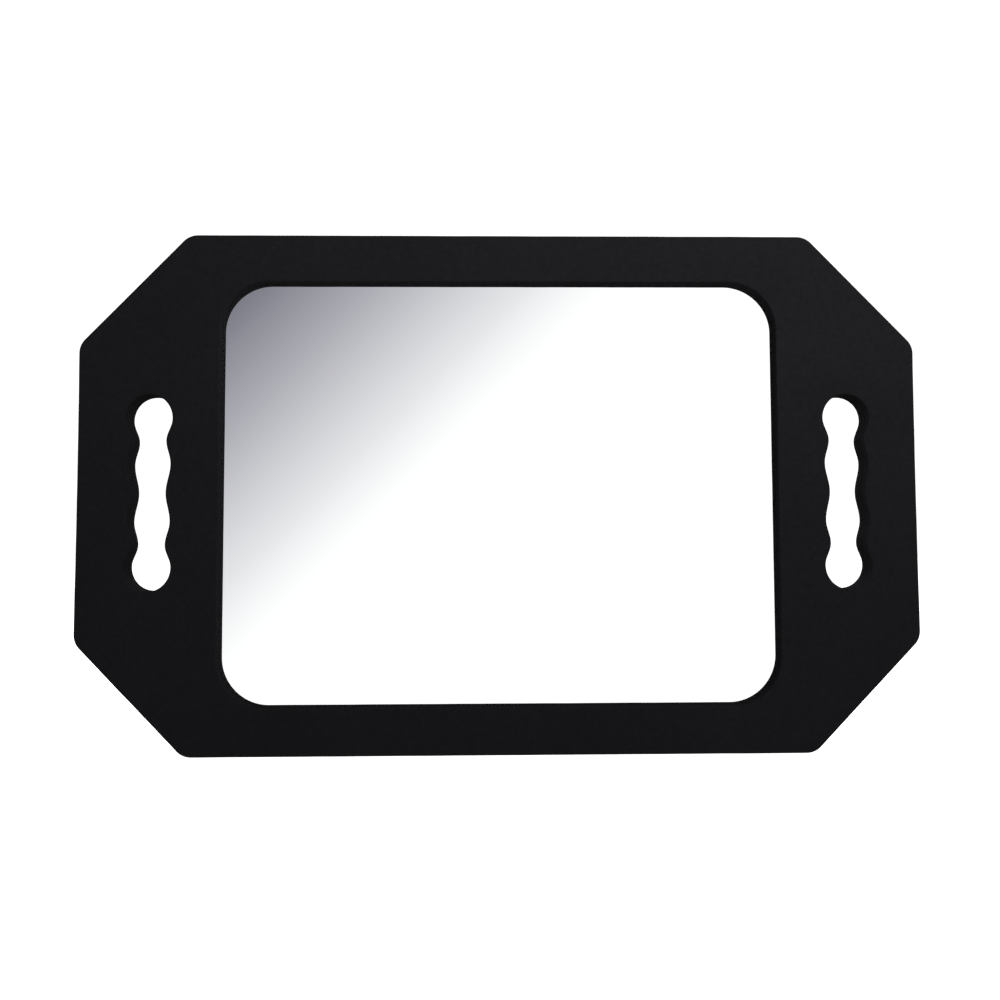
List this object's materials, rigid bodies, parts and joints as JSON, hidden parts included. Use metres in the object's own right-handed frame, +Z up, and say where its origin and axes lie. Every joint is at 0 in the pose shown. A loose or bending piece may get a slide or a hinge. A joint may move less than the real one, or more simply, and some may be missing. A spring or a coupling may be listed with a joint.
{
  "type": "foam-framed hand mirror",
  "caption": "Flat foam-framed hand mirror for showing the back of the head, with a scalloped finger slot through each end as a handle.",
  "frame": {"origin": "middle of the long bottom edge, halfway through the thickness; z = 0 is the surface the board stands on", "axes": "+X along the board from one handle to the other, -Y out of the mirror towards the viewer, +Z up"},
  "size_m": [0.42, 0.012, 0.26],
  "materials": {
    "front_foam": "matte, fine closed-cell foam skin",
    "core_foam": "matte, cut closed-cell foam",
    "back_foam": "matte, fine closed-cell foam skin",
    "mirror_glass": "polished",
    "silver_and_paint": "dull on its painted back",
    "safety_film": "satin",
    "foam_tape": "matte",
    "black_glue": "satin"
  },
  "bodies": {
    "root": {"front_frame": "front_foam", "core_frame": "core_foam", "back_panel": "back_foam", "mirror_pane": "mirror_glass", "silver_coat": "silver_and_paint", "safety_film": "safety_film", "tape_top": "foam_tape", "tape_bottom": "foam_tape", "tape_left": "foam_tape", "tape_right": "foam_tape", "front_bond_film": "black_glue", "rear_bond_film": "black_glue"}
  },
  "joints": []
}
